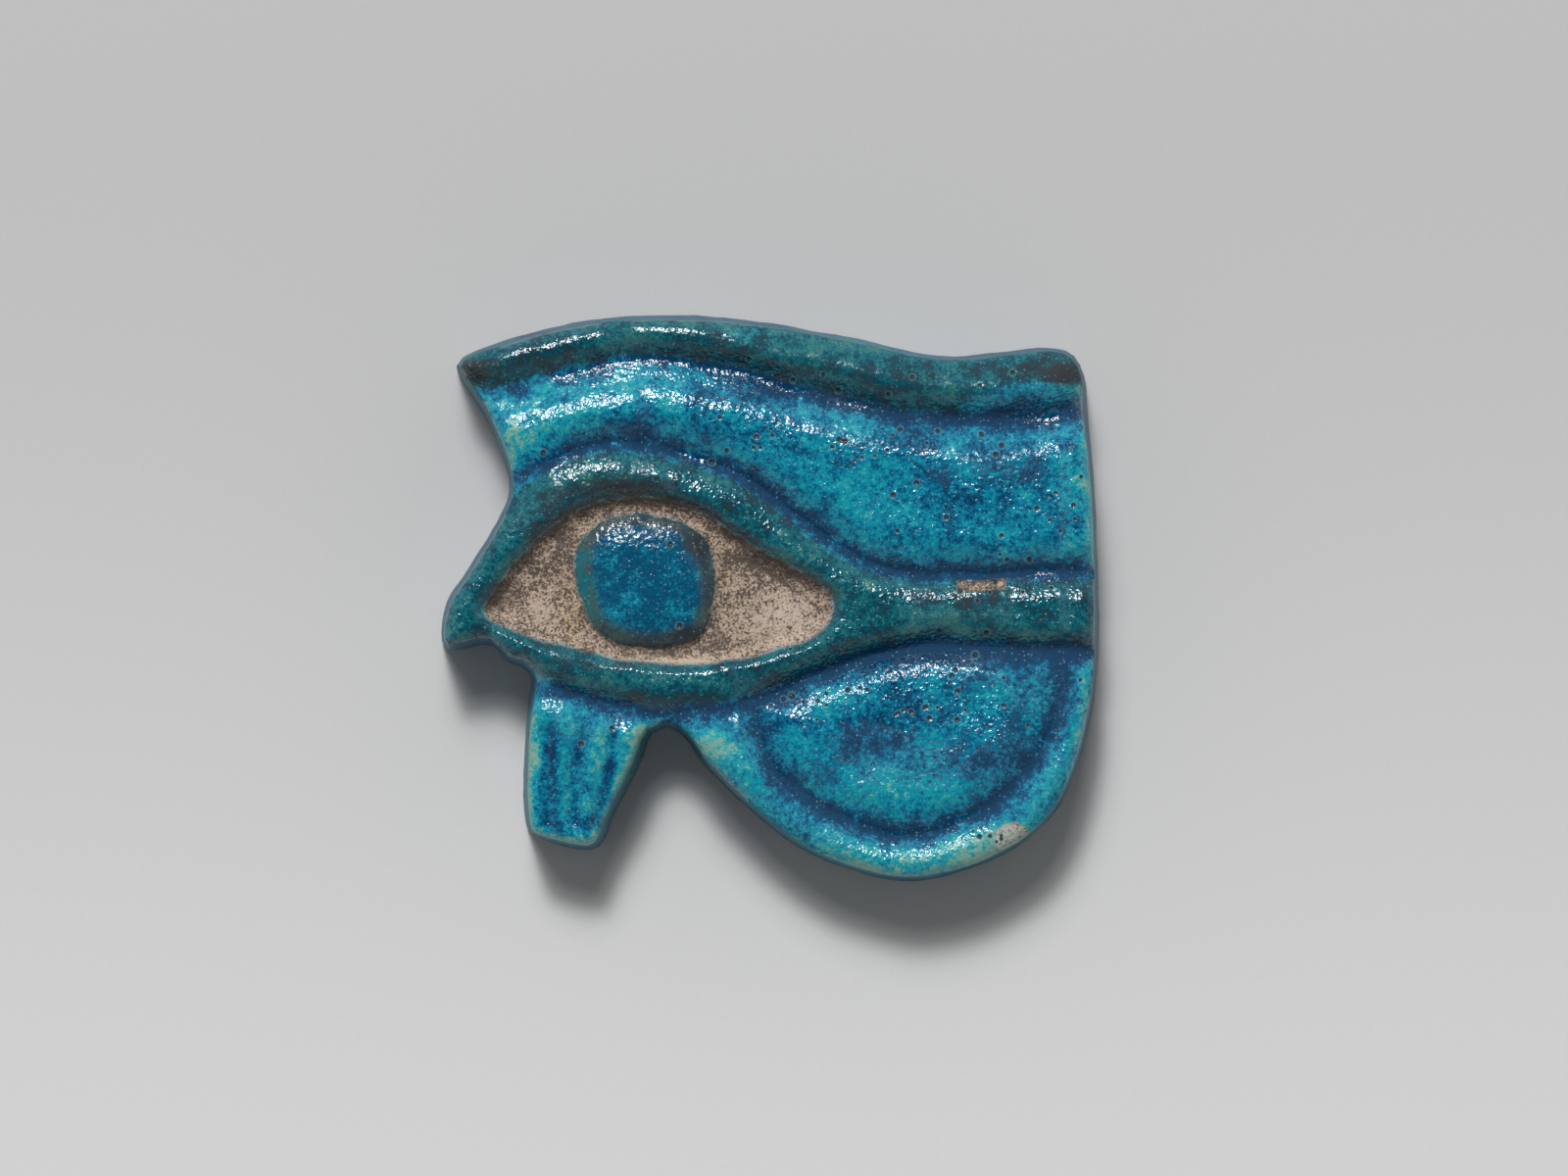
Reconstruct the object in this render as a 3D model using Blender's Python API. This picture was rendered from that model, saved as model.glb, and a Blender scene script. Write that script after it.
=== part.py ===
"""Wedjat eye amulet: one moulded plaque of glazed faience with a flat back.

The amulet lies on its back. The origin is the middle of its outline on the back, +Z points out of
the carved face, +Y runs towards the brow and +X from the inner corner of the eye to the tail.
"""

import math
from functools import lru_cache
from typing import NamedTuple

import bmesh
import bpy
import numpy as np
from mathutils import Vector, geometry

# Driving sizes of the plaque, in metres
WIDTH = 0.050
FACE_HEIGHT = 0.0085
BROW_EDGE_DROP = 0.0016
BROW_EDGE_ROUND = 0.0029
SIDE_EDGE_DROP = 0.0010
SIDE_EDGE_ROUND = 0.0013
EDGE_CHANGE = 0.0020
WALL_DRAFT = 0.00055
FOOT_HEIGHT = 0.0006
FOOT_ROUND = 0.0004

# Depths and heights of the carving, in metres
BROW_GROOVE_DEPTH = 0.00150
LID_GROOVE_DEPTH = 0.00110
UNDER_GROOVE_DEPTH = 0.00115
TEAR_GROOVE_DEPTH = 0.00085
FLUTE_DEPTH = 0.00045
EYE_DEPTH = 0.00150
IRIS_STEP = 0.00050
IRIS_DOME = 0.00070
COLLAR_RISE = 0.00015
DROP_FALL = 0.00070
TEAR_HOLLOW = 0.00025
EYE_HOLLOW = 0.00030

# How far a groove's flank reaches over the broad pads and over the narrow bands, in metres
PAD_REACH = 0.0028
UPPER_FIELD_REACH = 0.0026
BAND_REACH = 0.0019
TEAR_PAD_REACH = 0.0020
TEAR_RIM_REACH = 0.0016
FLUTE_REACH = 0.00140
BROW_BED = 0.00090
GROOVE_BED = 0.00045
FLUTE_BED = 0.00030

# Widths across the eye, in metres
LID_INNER_SLOPE = 0.00090
EYE_WALL = 0.00110
IRIS_WALL = 0.00030
IRIS_SHOULDER = 0.00290
COLLAR_WIDTH = 0.00130

# The drawing below is in hundredths of the width, and a mesh step is a share of it too
DRAWING_UNIT = WIDTH / 100
OUTLINE_STEP = 1.5 * DRAWING_UNIT
CARVING_STEP = 1.6 * DRAWING_UNIT
EYE_STEP = 1.0 * DRAWING_UNIT
FLUTE_STEP = 1.2 * DRAWING_UNIT
FIELD_STEP = 1.75 * DRAWING_UNIT

# The outline, clockwise from the point of the brow
BROW_POINT = [(-47.5, 35.1), (-46.6, 36.5)]
BROW_TOP = [(-27.6, 42.1), (-8.3, 42.7), (12.6, 39.5), (26.8, 36.7)]
BROW_END = [(43.3, 38.0), (46.5, 36.7), (48.0, 33.7)]
RIGHT_SIDE = [(48.5, 26.9), (49.4, 17.9), (49.6, -13.7)]
TEAR_BORDER = [(44.9, -30.3), (39.5, -36.6), (31.3, -41.0), (21.4, -43.1), (11.4, -41.1),
               (2.2, -36.4), (-9.7, -25.6)]
FORK = [(-12.9, -21.3), (-15.6, -19.8), (-17.6, -20.6), (-19.4, -24.9)]
DROP_BORDER = [(-23.8, -33.7), (-25.1, -37.0), (-27.0, -38.3), (-36.1, -35.9), (-37.1, -33.5),
               (-37.0, -20.1)]
CHIPPED_STEP = [(-36.5, -11.5), (-39.9, -9.6), (-42.1, -7.3)]
INNER_CORNER = [(-48.8, -8.0), (-49.8, -6.7), (-49.0, -0.7)]
LEFT_SIDE = [(-46.3, 3.5), (-39.9, 14.6), (-39.5, 17.6), (-42.8, 26.9)]
OUTLINE = (BROW_POINT + BROW_TOP + BROW_END + RIGHT_SIDE + TEAR_BORDER + FORK + DROP_BORDER
           + CHIPPED_STEP + INNER_CORNER + LEFT_SIDE)

# The eye's sunk white and the raised iris, clockwise from the left
UPPER_LID = [(-43.0, -0.9), (-31.7, 11.7), (-27.3, 14.0), (-18.7, 15.3), (-10.2, 13.0),
             (-1.7, 7.8), (9.6, -0.1)]
LOWER_LID = [(9.0, -3.9), (0.5, -8.0), (-12.3, -9.9), (-25.1, -8.6), (-42.4, -2.8)]
EYE = UPPER_LID + LOWER_LID
IRIS = [(-28.7, 7.5), (-24.4, 11.9), (-16.3, 12.2), (-9.4, 8.8), (-7.7, 2.7), (-9.4, -4.7),
        (-11.8, -6.8), (-19.4, -7.4), (-26.4, -4.5)]

# The beds of the grooves between the raised bands, from the left
BROW_GROOVE = [(-46.5, 30.8), (-39.6, 31.6), (-20.2, 36.0), (-12.7, 35.7), (25.3, 27.2),
               (49.5, 27.8)]
LID_GROOVE = [(-41.0, 14.8), (-36.6, 18.4), (-29.0, 22.2), (-20.2, 23.2), (-6.5, 19.3),
              (14.1, 5.6), (20.1, 4.0), (51.0, 3.9)]
UNDER_GROOVE = [(-37.5, -11.8), (-28.4, -15.0), (-17.2, -17.3), (-6.8, -16.7), (14.6, -9.1),
                (25.6, -7.2), (38.9, -8.0), (51.0, -8.0)]
TEAR_GROOVE = [(-3.0, -15.6), (0.9, -25.9), (12.3, -33.6), (20.7, -35.9), (29.3, -33.6),
               (36.9, -28.0), (42.0, -20.8), (43.9, -14.1), (44.0, -8.0)]

# The share of a groove's depth at its first and last point, and how much of its length that takes
BROW_START = 0.70
FAINT_START = 0.35
FAINT_END = 0.60
FAINT_LENGTH = 0.22

# Where the groove under the eye is faint, between the drop and the tear: the middle, its reach and share
FAINT_SPOT = ((-8.5, -15.5), (9.0, 6.0), 0.55)

# How sharply grooves that meet run into each other, as the power of their joint depth
JOINING = 4

# The drop's three flutes, and the stretch over which the drop leans back
FLUTES = [[(-33.0, -17.6), (-33.7, -25.3), (-33.3, -33.5)],
          [(-27.2, -18.2), (-28.9, -25.3), (-29.2, -34.0)],
          [(-23.2, -19.2), (-23.8, -25.5), (-25.9, -33.5)]]
DROP_TOP = -15.0
DROP_END = -38.3
DROP_RIGHT = -15.6
DROP_JOINT = 4.0

# Soft hollows: the middle of each, how far it reaches across and along, and its depth
HOLLOWS = [((18.0, -19.0), (19.0, 10.0), TEAR_HOLLOW),
           ((1.5, 2.2), (6.5, 3.6), EYE_HOLLOW),
           ((-33.5, 2.0), (4.5, 3.0), EYE_HOLLOW)]

# Where rows of points run beside a curve, as shares of the width that each row follows
RIM_ROW = 0.12
EDGE_ROWS = (0.45, 1.0)
WALL_ROWS = (0, 0.5, 1.0)
SLOPE_ROWS = (-0.5, -1.0)
FLUTE_ROWS = (0, -0.5, 0.5)
BED_ROWS = (0, -0.75, 0.75)
FLANK_ROWS = (-1.8, 1.8, -3.0, 3.0)
SHOULDER_ROWS = (0.4, 1.0)
RIM_CLEARANCE = 0.25

# How close a new point may come to another one, as a share of the step along its row
RIM_GAP = 0.20
CREASE_GAP = 0.20
WALL_GAP = 0.50
SLOPE_GAP = 0.60
ROW_GAP = 0.42
SPARSE_GAP = 0.60

# Slopes steeper than this to each other stay a sharp edge, in degrees
SHARP_ANGLE = 50
TINY = 1e-9

GLAZE = ("faience_glaze", (0.010, 0.235, 0.300, 1.0), 0.28)


@lru_cache
def drawing_middle():
    """The middle of the smooth outline, in the drawing's own units."""
    outline = smooth_path(OUTLINE, OUTLINE_STEP / DRAWING_UNIT, True)
    return (outline.min(0) + outline.max(0)) / 2


def centred(points):
    """The drawing's points in metres, with the outline's middle at the origin."""
    return (np.array(points) - drawing_middle()) * DRAWING_UNIT


def smooth_path(points, step, closed=False):
    """Points about a step apart along a centripetal Catmull-Rom curve through the given ones."""
    points = np.array(points, float)
    if closed:
        run = [points[-1], *points, points[0], points[1]]
    else:
        run = [2 * points[0] - points[1], *points, 2 * points[-1] - points[-2]]
    found = []
    for before, start, end, after in zip(run, run[1:], run[2:], run[3:]):
        knots = np.cumsum([0.0] + [math.sqrt(np.linalg.norm(b - a))
                                   for a, b in ((before, start), (start, end), (end, after))])
        count = max(1, round(np.linalg.norm(end - start) / step))
        for i in range(count):
            at = knots[1] + (knots[2] - knots[1]) * i / count
            first = blend_between(before, start, knots[0], knots[1], at)
            middle = blend_between(start, end, knots[1], knots[2], at)
            last = blend_between(end, after, knots[2], knots[3], at)
            left = blend_between(first, middle, knots[0], knots[2], at)
            right = blend_between(middle, last, knots[1], knots[3], at)
            found.append(blend_between(left, right, knots[1], knots[2], at))
    if not closed:
        found.append(points[-1])
    return np.array(found)


def blend_between(low, high, low_at, high_at, at):
    return low + (high - low) * (at - low_at) / (high_at - low_at)


def nearest_on(points, path):
    """Each point's distance to a path, the side it lies on and its share of the way along.

    The side is 1 to the left and -1 to the right, and changes smoothly round the path's ends.
    """
    lengths = np.linalg.norm(np.diff(path, axis=0), axis=1)
    reached = np.concatenate([[0.0], np.cumsum(lengths)]) / lengths.sum()
    nearest = np.full(len(points), np.inf)
    side = np.zeros(len(points))
    share = np.zeros(len(points))
    for start, end, begun, done in zip(path, path[1:], reached, reached[1:]):
        along = end - start
        offset = points - start
        part = np.clip(offset @ along / max(along @ along, TINY ** 2), 0, 1)
        away = np.linalg.norm(offset - part[:, None] * along, axis=1)
        across = (along[0] * offset[:, 1] - along[1] * offset[:, 0]) / np.linalg.norm(along)
        closer = away < nearest
        nearest[closer] = away[closer]
        side[closer] = (across / np.maximum(away, TINY))[closer]
        share[closer] = (begun + (done - begun) * part)[closer]
    return nearest, side, share


def distance_to(points, path, closed=False):
    """How far each point lies from a path of straight pieces."""
    if closed:
        path = np.vstack([path, path[:1]])
    return nearest_on(points, path)[0]


def depth_inside(points, loop):
    """Distance to a closed loop, positive inside it and negative outside."""
    x, y = points.T
    inside = np.zeros(len(points), bool)
    for (x0, y0), (x1, y1) in zip(loop, np.roll(loop, -1, 0)):
        if y0 != y1:
            crosses = (y0 > y) != (y1 > y)
            inside ^= crosses & (x < x0 + (y - y0) * (x1 - x0) / (y1 - y0))
    return distance_to(points, loop, True) * np.where(inside, 1, -1)


def bed_of(points):
    return smooth_path(centred(points), CARVING_STEP)


def ease(share):
    """A smooth step from 0 to 1."""
    share = np.clip(share, 0, 1)
    return share * share * (3 - 2 * share)


class Groove(NamedTuple):
    """A groove's bed, its depth, how far its flanks reach and its share of depth at both ends."""

    bed: np.ndarray
    depth: float
    left_reach: float
    right_reach: float
    first_share: float = 1.0
    last_share: float = 1.0
    bed_radius: float = GROOVE_BED

    def fall(self, points):
        away, side, share = nearest_on(points, self.bed)
        reach = self.right_reach + (self.left_reach - self.right_reach) * (1 + side) / 2
        soft = np.sqrt(away ** 2 + self.bed_radius ** 2) - self.bed_radius
        flank = (1 - np.clip(soft / reach, 0, 1)) ** 2
        begun = self.first_share + (1 - self.first_share) * ease(share / FAINT_LENGTH)
        done = self.last_share + (1 - self.last_share) * ease((1 - share) / FAINT_LENGTH)
        return self.depth * flank * begun * done


class Carving:
    """The carved face: its curves in metres, and the height of the face at any point."""

    def __init__(self):
        self.outline = smooth_path(centred(OUTLINE), OUTLINE_STEP, True)
        self.eye = smooth_path(centred(EYE), EYE_STEP, True)
        self.iris = smooth_path(centred(IRIS), EYE_STEP, True)
        self.brow_bed = bed_of(BROW_GROOVE)
        self.under = Groove(bed_of(UNDER_GROOVE), UNDER_GROOVE_DEPTH, BAND_REACH, TEAR_PAD_REACH)
        self.others = [
            Groove(self.brow_bed, BROW_GROOVE_DEPTH, BAND_REACH, PAD_REACH, BROW_START,
                   bed_radius=BROW_BED),
            Groove(bed_of(LID_GROOVE), LID_GROOVE_DEPTH, UPPER_FIELD_REACH, BAND_REACH, FAINT_START),
            Groove(bed_of(TEAR_GROOVE), TEAR_GROOVE_DEPTH, UPPER_FIELD_REACH, TEAR_RIM_REACH,
                   last_share=FAINT_END)]
        self.grooves = [self.under, *self.others]
        self.flutes = [Groove(smooth_path(centred(flute), FLUTE_STEP), FLUTE_DEPTH, FLUTE_REACH,
                              FLUTE_REACH, FAINT_START, bed_radius=FLUTE_BED) for flute in FLUTES]
        self.rim = inset(self.outline, WALL_DRAFT)

    def height(self, points):
        under_fall = self.under.fall(points) * (1 - hollow(points, *FAINT_SPOT))
        fall = joined([under_fall, *(groove.fall(points) for groove in self.others)])
        fall += joined([flute.fall(points) for flute in self.flutes])
        fall += self.drop_fall(points)
        fall += self.eye_fall(points)
        fall += sum(hollow(points, *sizes) for sizes in HOLLOWS)
        return FACE_HEIGHT - fall - self.edge_fall(points)

    def edge_fall(self, points):
        """The quarter round along the rim of the face, wider above the brow's groove."""
        from_groove, side, _ = nearest_on(points, self.brow_bed)
        brow = ease(0.5 + side * from_groove / EDGE_CHANGE)
        drop = SIDE_EDGE_DROP + (BROW_EDGE_DROP - SIDE_EDGE_DROP) * brow
        reach = SIDE_EDGE_ROUND + (BROW_EDGE_ROUND - SIDE_EDGE_ROUND) * brow
        away = np.clip(distance_to(points, self.rim, True) / reach, 0, 1)
        return drop * (1 - np.sqrt(1 - (1 - away) ** 2))

    def eye_fall(self, points):
        """The white of the eye, sunk behind the lids, with the domed iris on its collar."""
        white = depth_inside(points, self.eye)
        iris = depth_inside(points, self.iris)
        fall = EYE_DEPTH * ease((white + LID_INNER_SLOPE) / (LID_INNER_SLOPE + EYE_WALL))
        rise = COLLAR_RISE * ease((iris + COLLAR_WIDTH) / COLLAR_WIDTH)
        rise += IRIS_STEP * ease((iris + IRIS_WALL) / (2 * IRIS_WALL))
        shoulder = np.clip(iris / IRIS_SHOULDER, 0, 1)
        rise += IRIS_DOME * (1 - (1 - shoulder) ** 2)
        return fall - rise

    def drop_fall(self, points):
        """The drop leans back a little towards its end."""
        top, end = centred([(0, DROP_TOP), (0, DROP_END)])[:, 1]
        right = centred([(DROP_RIGHT, DROP_TOP)])[0, 0]
        on_drop = ease((right - points[:, 0]) / (DROP_JOINT * DRAWING_UNIT))
        return DROP_FALL * np.clip((points[:, 1] - top) / (end - top), 0, 1) * on_drop


def joined(falls):
    """Grooves that meet run into each other without adding up their depths."""
    return np.sum(np.array(falls) ** JOINING, axis=0) ** (1 / JOINING)


def hollow(points, middle, reach, depth):
    away = (points - centred([middle])[0]) / (np.array(reach) * DRAWING_UNIT)
    return depth * np.exp(-(away ** 2).sum(1))


def inset(loop, distance):
    """A clockwise closed loop moved inwards by a distance."""
    along = np.roll(loop, -1, 0) - np.roll(loop, 1, 0)
    along /= np.linalg.norm(along, axis=1)[:, None]
    inwards = np.stack([along[:, 1], -along[:, 0]], axis=1)
    return loop + inwards * distance


def beside(path, distances, closed=False):
    """Points along a path at each of these distances to its side."""
    if closed:
        along = np.roll(path, -1, 0) - np.roll(path, 1, 0)
    else:
        along = np.gradient(path, axis=0)
    along /= np.linalg.norm(along, axis=1)[:, None]
    side = np.stack([along[:, 1], -along[:, 0]], axis=1)
    return [point for distance in distances for point in path + side * distance]


def field_points(low, high, step):
    """Rows of points in a triangular pattern."""
    row_height = step * math.sqrt(3) / 2
    rows = math.ceil((high[1] - low[1]) / row_height)
    columns = math.ceil((high[0] - low[0]) / step)
    return [np.array([low[0] + (column + row % 2 / 2) * step, low[1] + row * row_height])
            for row in range(rows) for column in range(columns)]


class PointSet:
    """Points of the face, each kept only where it isn't crowded by those before it."""

    def __init__(self, cell):
        self.cell = cell
        self.cells = {}
        self.points = []

    def key(self, point):
        return int(point[0] // self.cell), int(point[1] // self.cell)

    def crowded(self, point, gap):
        column, row = self.key(point)
        near = [other for i in (-1, 0, 1) for j in (-1, 0, 1)
                for other in self.cells.get((column + i, row + j), ())]
        return any((point[0] - x) ** 2 + (point[1] - y) ** 2 < gap ** 2 for x, y in near)

    def add(self, points, gap):
        for point in points:
            if gap == 0 or not self.crowded(point, gap):
                self.cells.setdefault(self.key(point), []).append(tuple(point))
                self.points.append(point)


def rows(path, width, shares, closed=False):
    return beside(path, [width * share for share in shares], closed)


def face_points(carving):
    """The rim's points, then those that follow the carving and fill the plain field."""
    chosen = PointSet(FIELD_STEP)
    chosen.add(carving.rim, 0)
    chosen.add(rows(carving.rim, SIDE_EDGE_ROUND, [RIM_ROW], True), RIM_GAP * OUTLINE_STEP)

    def add(points, gap):
        points = np.array(points)
        clear = depth_inside(points, carving.rim) > RIM_CLEARANCE * SIDE_EDGE_ROUND
        chosen.add(points[clear], gap)

    add(rows(carving.iris, IRIS_WALL, (-1, 0, 1), True), CREASE_GAP * EYE_STEP)
    add(rows(carving.eye, EYE_WALL, WALL_ROWS, True), WALL_GAP * EYE_STEP)
    add(rows(carving.eye, LID_INNER_SLOPE, SLOPE_ROWS, True), SLOPE_GAP * EYE_STEP)
    add(rows(carving.rim, SIDE_EDGE_ROUND, EDGE_ROWS, True), ROW_GAP * OUTLINE_STEP)
    for flute in carving.flutes:
        add(rows(flute.bed, FLUTE_REACH, FLUTE_ROWS), SPARSE_GAP * FLUTE_STEP)
    for groove in carving.grooves:
        add(rows(groove.bed, groove.bed_radius, BED_ROWS), ROW_GAP * CARVING_STEP)
    for groove in carving.grooves:
        add(rows(groove.bed, groove.bed_radius, FLANK_ROWS), SPARSE_GAP * CARVING_STEP)
    add(rows(carving.iris, IRIS_SHOULDER, SHOULDER_ROWS, True), SPARSE_GAP * CARVING_STEP)
    field = field_points(carving.rim.min(0), carving.rim.max(0), FIELD_STEP)
    add(field, SPARSE_GAP * FIELD_STEP)
    return carving.rim, np.array(chosen.points[len(carving.rim):])


def face_triangles(rim, inner):
    """The face's triangles, between the rim's points and the ones inside it."""
    flat = [Vector(point) for point in (*rim, *inner)]
    border = list(range(len(rim)))
    inside_only = 1
    verts, _, faces, *_ = geometry.delaunay_2d_cdt(flat, [], [border], inside_only, TINY)
    return np.array([tuple(vert) for vert in verts]), faces


def add_plaque(carving):
    """The carved face on its drafted wall, with a small round at the foot and a flat back."""
    points, faces = face_triangles(*face_points(carving))
    heights = carving.height(points)
    shape = bmesh.new()
    verts = [shape.verts.new((x, y, z)) for (x, y), z in zip(points, heights)]
    for face in faces:
        shape.faces.new([verts[i] for i in face])
    rings = [verts[:len(carving.rim)]]
    levels = ((carving.outline, FOOT_HEIGHT), (inset(carving.outline, FOOT_ROUND), 0.0))
    for loop, level in levels:
        rings.append([shape.verts.new((x, y, level)) for x, y in loop])
    for upper, lower in zip(rings, rings[1:]):
        for i, above in enumerate(upper):
            after = (i + 1) % len(upper)
            shape.faces.new((above, upper[after], lower[after], lower[i]))
    shape.faces.new(rings[-1])
    bmesh.ops.recalc_face_normals(shape, faces=shape.faces)
    bmesh.ops.triangulate(shape, faces=shape.faces)
    mesh = bpy.data.meshes.new("wedjat_amulet")
    shape.to_mesh(mesh)
    shape.free()
    mesh.shade_smooth()
    mesh.set_sharp_from_angle(angle=math.radians(SHARP_ANGLE))
    plaque = bpy.data.objects.new("wedjat_amulet", mesh)
    bpy.context.scene.collection.objects.link(plaque)
    return plaque


def glaze(name, colour, roughness):
    material = bpy.data.materials.new(name)
    material.use_nodes = True
    shader = material.node_tree.nodes["Principled BSDF"]
    shader.inputs["Base Color"].default_value = colour
    shader.inputs["Roughness"].default_value = roughness
    return material


def main():
    for thing in list(bpy.data.objects):
        bpy.data.objects.remove(thing)
    plaque = add_plaque(Carving())
    plaque.data.materials.append(glaze(*GLAZE))


main()
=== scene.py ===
"""Wedjat eye amulet: the looks of a moulded faience plaque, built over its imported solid.

Lengths are in metres. The drawing of the amulet is in hundredths of its width, seen from above,
from the middle of its outline. +Y runs towards the brow and +Z out of the carved face.
"""

import math
import random
from typing import NamedTuple

import bmesh
import bpy
import numpy as np
from bpy.props import FloatProperty, FloatVectorProperty, IntProperty, PointerProperty
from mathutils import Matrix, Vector, noise


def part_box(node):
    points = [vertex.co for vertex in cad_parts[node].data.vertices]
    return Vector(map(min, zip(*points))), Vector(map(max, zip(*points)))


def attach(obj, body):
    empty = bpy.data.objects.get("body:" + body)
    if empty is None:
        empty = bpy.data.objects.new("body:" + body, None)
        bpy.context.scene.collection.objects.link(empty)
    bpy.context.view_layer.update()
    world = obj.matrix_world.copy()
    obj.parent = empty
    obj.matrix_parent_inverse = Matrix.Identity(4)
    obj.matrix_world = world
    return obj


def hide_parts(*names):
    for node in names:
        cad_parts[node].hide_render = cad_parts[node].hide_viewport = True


bl_info = {
    "name": "Wedjat eye amulet",
    "version": (1, 0, 0),
    "blender": (4, 5, 0),
    "location": "3D View > Sidebar > Wedjat",
    "description": "Dresses the packed solid of a faience wedjat eye amulet",
    "category": "Mesh",
}

NODE = "wedjat_amulet"
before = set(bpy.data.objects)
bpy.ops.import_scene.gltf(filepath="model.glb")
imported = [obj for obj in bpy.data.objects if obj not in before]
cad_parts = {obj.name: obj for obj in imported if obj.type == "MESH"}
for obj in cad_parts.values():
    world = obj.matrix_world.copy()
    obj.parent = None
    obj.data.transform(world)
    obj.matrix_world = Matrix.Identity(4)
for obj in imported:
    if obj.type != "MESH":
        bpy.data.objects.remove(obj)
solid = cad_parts[NODE]
solid_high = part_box(NODE)[1]
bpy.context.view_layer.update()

MM = 0.001

# The outline, clockwise from the point of the brow
BROW_POINT = [(-47.5, 35.1), (-46.6, 36.5)]
BROW_TOP = [(-27.6, 42.1), (-8.3, 42.7), (12.6, 39.5), (26.8, 36.7)]
BROW_END = [(43.3, 38.0), (46.5, 36.7), (48.0, 33.7)]
RIGHT_SIDE = [(48.5, 26.9), (49.4, 17.9), (49.6, -13.7)]
TEAR_BORDER = [(44.9, -30.3), (39.5, -36.6), (31.3, -41.0), (21.4, -43.1), (11.4, -41.1),
               (2.2, -36.4), (-9.7, -25.6)]
FORK = [(-12.9, -21.3), (-15.6, -19.8), (-17.6, -20.6), (-19.4, -24.9)]
DROP_BORDER = [(-23.8, -33.7), (-25.1, -37.0), (-27.0, -38.3), (-36.1, -35.9), (-37.1, -33.5),
               (-37.0, -20.1)]
CHIPPED_STEP = [(-36.5, -11.5), (-39.9, -9.6), (-42.1, -7.3)]
INNER_CORNER = [(-48.8, -8.0), (-49.8, -6.7), (-49.0, -0.7)]
LEFT_SIDE = [(-46.3, 3.5), (-39.9, 14.6), (-39.5, 17.6), (-42.8, 26.9)]
OUTLINE = (BROW_POINT + BROW_TOP + BROW_END + RIGHT_SIDE + TEAR_BORDER + FORK + DROP_BORDER
           + CHIPPED_STEP + INNER_CORNER + LEFT_SIDE)

# The eye's sunk white and the raised iris, clockwise from the left
UPPER_LID = [(-43.0, -0.9), (-31.7, 11.7), (-27.3, 14.0), (-18.7, 15.3), (-10.2, 13.0),
             (-1.7, 7.8), (9.6, -0.1)]
LOWER_LID = [(9.0, -3.9), (0.5, -8.0), (-12.3, -9.9), (-25.1, -8.6), (-42.4, -2.8)]
EYE = UPPER_LID + LOWER_LID
IRIS = [(-28.7, 7.5), (-24.4, 11.9), (-16.3, 12.2), (-9.4, 8.8), (-7.7, 2.7), (-9.4, -4.7),
        (-11.8, -6.8), (-19.4, -7.4), (-26.4, -4.5)]

# The beds of the grooves between the raised bands, from the left
BROW_GROOVE = [(-46.5, 30.8), (-39.6, 31.6), (-20.2, 36.0), (-12.7, 35.7), (25.3, 27.2),
               (49.5, 27.8)]
LID_GROOVE = [(-41.0, 14.8), (-36.6, 18.4), (-29.0, 22.2), (-20.2, 23.2), (-6.5, 19.3),
              (14.1, 5.6), (20.1, 4.0), (51.0, 3.9)]
UNDER_GROOVE = [(-37.5, -11.8), (-28.4, -15.0), (-17.2, -17.3), (-6.8, -16.7), (14.6, -9.1),
                (25.6, -7.2), (38.9, -8.0), (51.0, -8.0)]
TEAR_GROOVE = [(-3.0, -15.6), (0.9, -25.9), (12.3, -33.6), (20.7, -35.9), (29.3, -33.6),
               (36.9, -28.0), (42.0, -20.8), (43.9, -14.1), (44.0, -8.0)]
FLUTES = [[(-33.0, -17.6), (-33.7, -25.3), (-33.3, -33.5)],
          [(-27.2, -18.2), (-28.9, -25.3), (-29.2, -34.0)],
          [(-23.2, -19.2), (-23.8, -25.5), (-25.9, -33.5)]]

# How deep a groove is at its faint end, as a share, how far along the faint part reaches, and
# the spot where the groove under the eye fades
BROW_START = 0.70
FAINT_START = 0.35
FAINT_END = 0.60
FAINT_LENGTH = 0.22
FAINT_SPOT = (-8.5, -15.5, 9, 6, 0.55)

# Grooves that meet are joined by this power
JOINING = 4

# Where the drop leans back: its top, its end, its right side and the width of the change
DROP_TOP = -15.0
DROP_END = -38.3
DROP_RIGHT = -15.6
DROP_JOINT = 4.0

# Small marks on the face: a soft fold below the brow, a crease in the eye, a bare slot and a chip
PAD_FOLD = [(-27.6, 31.2), (-20.2, 32.5), (-12.7, 32.4), (-6.0, 31.0), (-0.1, 29.5)]
EYE_CREASE = [(-6.2, 6.4), (-1.0, 4.4), (3.5, 1.2), (8.0, -2.2)]
SLOT = [(28.4, 1.0), (28.5, 2.5), (32.4, 2.6), (35.9, 2.8), (35.9, 1.1), (31.0, 0.9)]
CHIP = [(34.2, -35.2), (36.8, -33.6), (38.9, -35.0), (38.9, -37.6), (36.4, -39.4), (34.4, -37.8)]

# Soft hollows of the solid: the middle of each, its reach across and along, and its depth's name
HOLLOWS = [(18, -19, 19, 10, "tear_hollow"), (1.5, 2.2, 6.5, 3.6, "eye_hollow"),
           (-33.5, 2, 4.5, 3, "eye_hollow")]

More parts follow.
